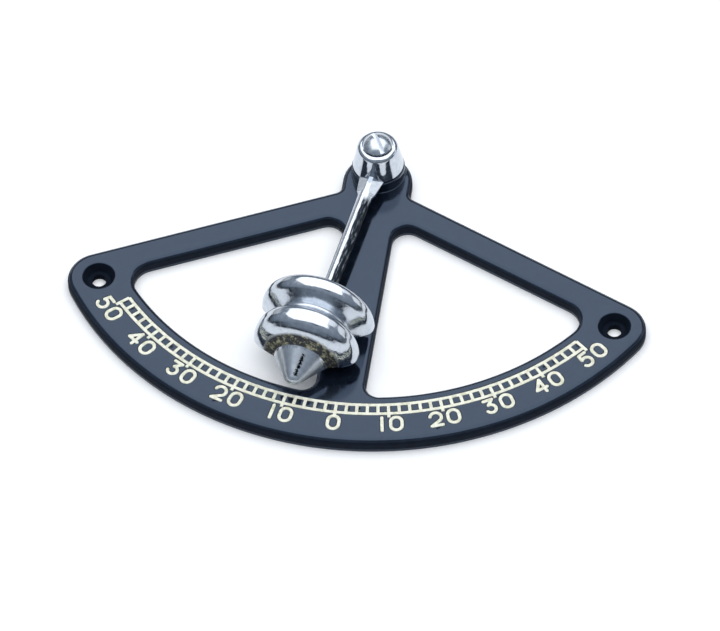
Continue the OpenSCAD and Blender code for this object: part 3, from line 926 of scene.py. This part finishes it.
for piece, node, body, finish, slot_name in (
    (plate, "backplate", "frame", phenolic, "phenolic"),
    (screw, "pivot_screw", "frame", worn, "chrome_plate"),
    (hub, "hub", "pendulum", chromium, "chrome_plate"),
    (arm, "arm", "pendulum", dark_flank_chromium, "chrome_plate"),
    (bob, "bob", "pendulum", tarnished, "chrome_plate"),
):
    dress(piece, finish)
    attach(piece, body)
    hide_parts(node)

kept = {"pivot_insert": brass, "seat_washer": brass, "pivot_bush": brass, "bob_pin": steel}
kept.update((name, enamel) for name in fillings)
for name, finish in kept.items():
    for place_for_finish in nodes[name].material_slots:
        place_for_finish.material = finish
print("dressed", len(kept), "kept nodes and 5 new pieces")

# %% [markdown]
# ## Floor and light
#
# A plain white floor carries the object's shadow. Besides its own colour it has a faint glow that only
# the camera, mirrors and glass see, so that it ends up white without more light on the object.

# %% Floor
pick()
bpy.ops.mesh.primitive_plane_add(size=10, location=(0, 0, -0.1 * MM))
floor = bpy.context.object
floor.name = "floor"
paper, tree, shader = new_material("white_studio_paper")
ray = add(tree, "LightPath").outputs
glossy, through = ray["Is Glossy Ray"], ray["Is Transmission Ray"]
bounced = add(tree, "Math", operation="MAXIMUM", Value=glossy, Value_001=through)
seen = add(tree, "Math", operation="MAXIMUM", Value=ray["Is Camera Ray"], Value_001=bounced)
glow = add(tree, "Math", operation="MULTIPLY", Value=seen, Value_001=0.08)
feed(tree, shader, Base_Color=linear("#f7f7f7"), Roughness=0.9)
feed(tree, shader, Emission_Color=linear("#ffffff"), Emission_Strength=glow)
dress(floor, paper)
print("floor", floor.dimensions.x, "m wide")

# %% [markdown]
# One large softbox hangs overhead, tilted a little to the back. The plate's face mirrors it towards
# the camera, which gives the black its grey-blue sheen, and it makes the white patches on the
# chromium. Weaker panels stand at the right and at the back on the left.

# %% Light
def aimed(holder, at):
    """Puts an object at a place in metres, with its face towards the pivot."""
    holder.location = at
    holder.rotation_euler = (-Vector(at)).to_track_quat("-Z", "Y").to_euler()


def softbox(name, at, width, height, brightness):
    """A rectangular lamp that looks this bright in a mirror."""
    lamp = bpy.data.lights.new(name, "AREA")
    lamp.shape = "RECTANGLE"
    lamp.size, lamp.size_y = width, height
    lamp.energy = brightness * math.pi * width * height
    holder = bpy.data.objects.new(name, lamp)
    bpy.context.scene.collection.objects.link(holder)
    aimed(holder, at)


softbox("overhead_softbox", Vector((-0.02, 0.2, 0.98)) * 1.2, width=2.1, height=2.1, brightness=1.6)
softbox("side_panel", Vector((0.93, 0.27, 0.24)) * 1.6, width=0.7, height=0.5, brightness=0.9)
softbox("low_back_panel", Vector((-0.7, 0.69, 0.17)) * 1.6, width=0.5, height=0.4, brightness=0.55)
softbox("upper_side_panel", Vector((0.66, 0.48, 0.58)) * 1.5, width=0.42, height=0.5, brightness=0.9)

# %% [markdown]
# The room is grey above and dark at the horizon, and the chromium draws that as thin dark lines. A
# dark card stands where a photographer would.

# %% Dark card and room
pick()
bpy.ops.mesh.primitive_plane_add(size=1)
card = bpy.context.object
card.name = "dark_card"
card.scale = (0.5, 0.34, 1)
bpy.ops.object.transform_apply(location=False, rotation=False, scale=True)
aimed(card, CAMERA_PLACE * 1.25)
cloth, tree, shader = new_material("black_cloth")
feed(tree, shader, Base_Color=linear("#0c0c0d"), Roughness=0.9)
dress(card, cloth)

room = bpy.data.worlds.new("grey_room")
room.use_nodes = True
bpy.context.scene.world = room
tree = room.node_tree
way = add(tree, "SeparateXYZ", Vector=add(tree, "TexCoord").outputs["Generated"])
sky = add(tree, "ValToRGB", Fac=way.outputs["Z"], stops=(
    (0.0, "#1f242b"), (0.1, "#434a54"), (0.28, "#838e9b"), (0.78, "#a6b0bc")))
feed(tree, tree.nodes["Background"], Color=sky)
bpy.context.scene.view_settings.view_transform = "Standard"
print("made", room.name, "and", card.name, round(card.location.length, 2), "m away")
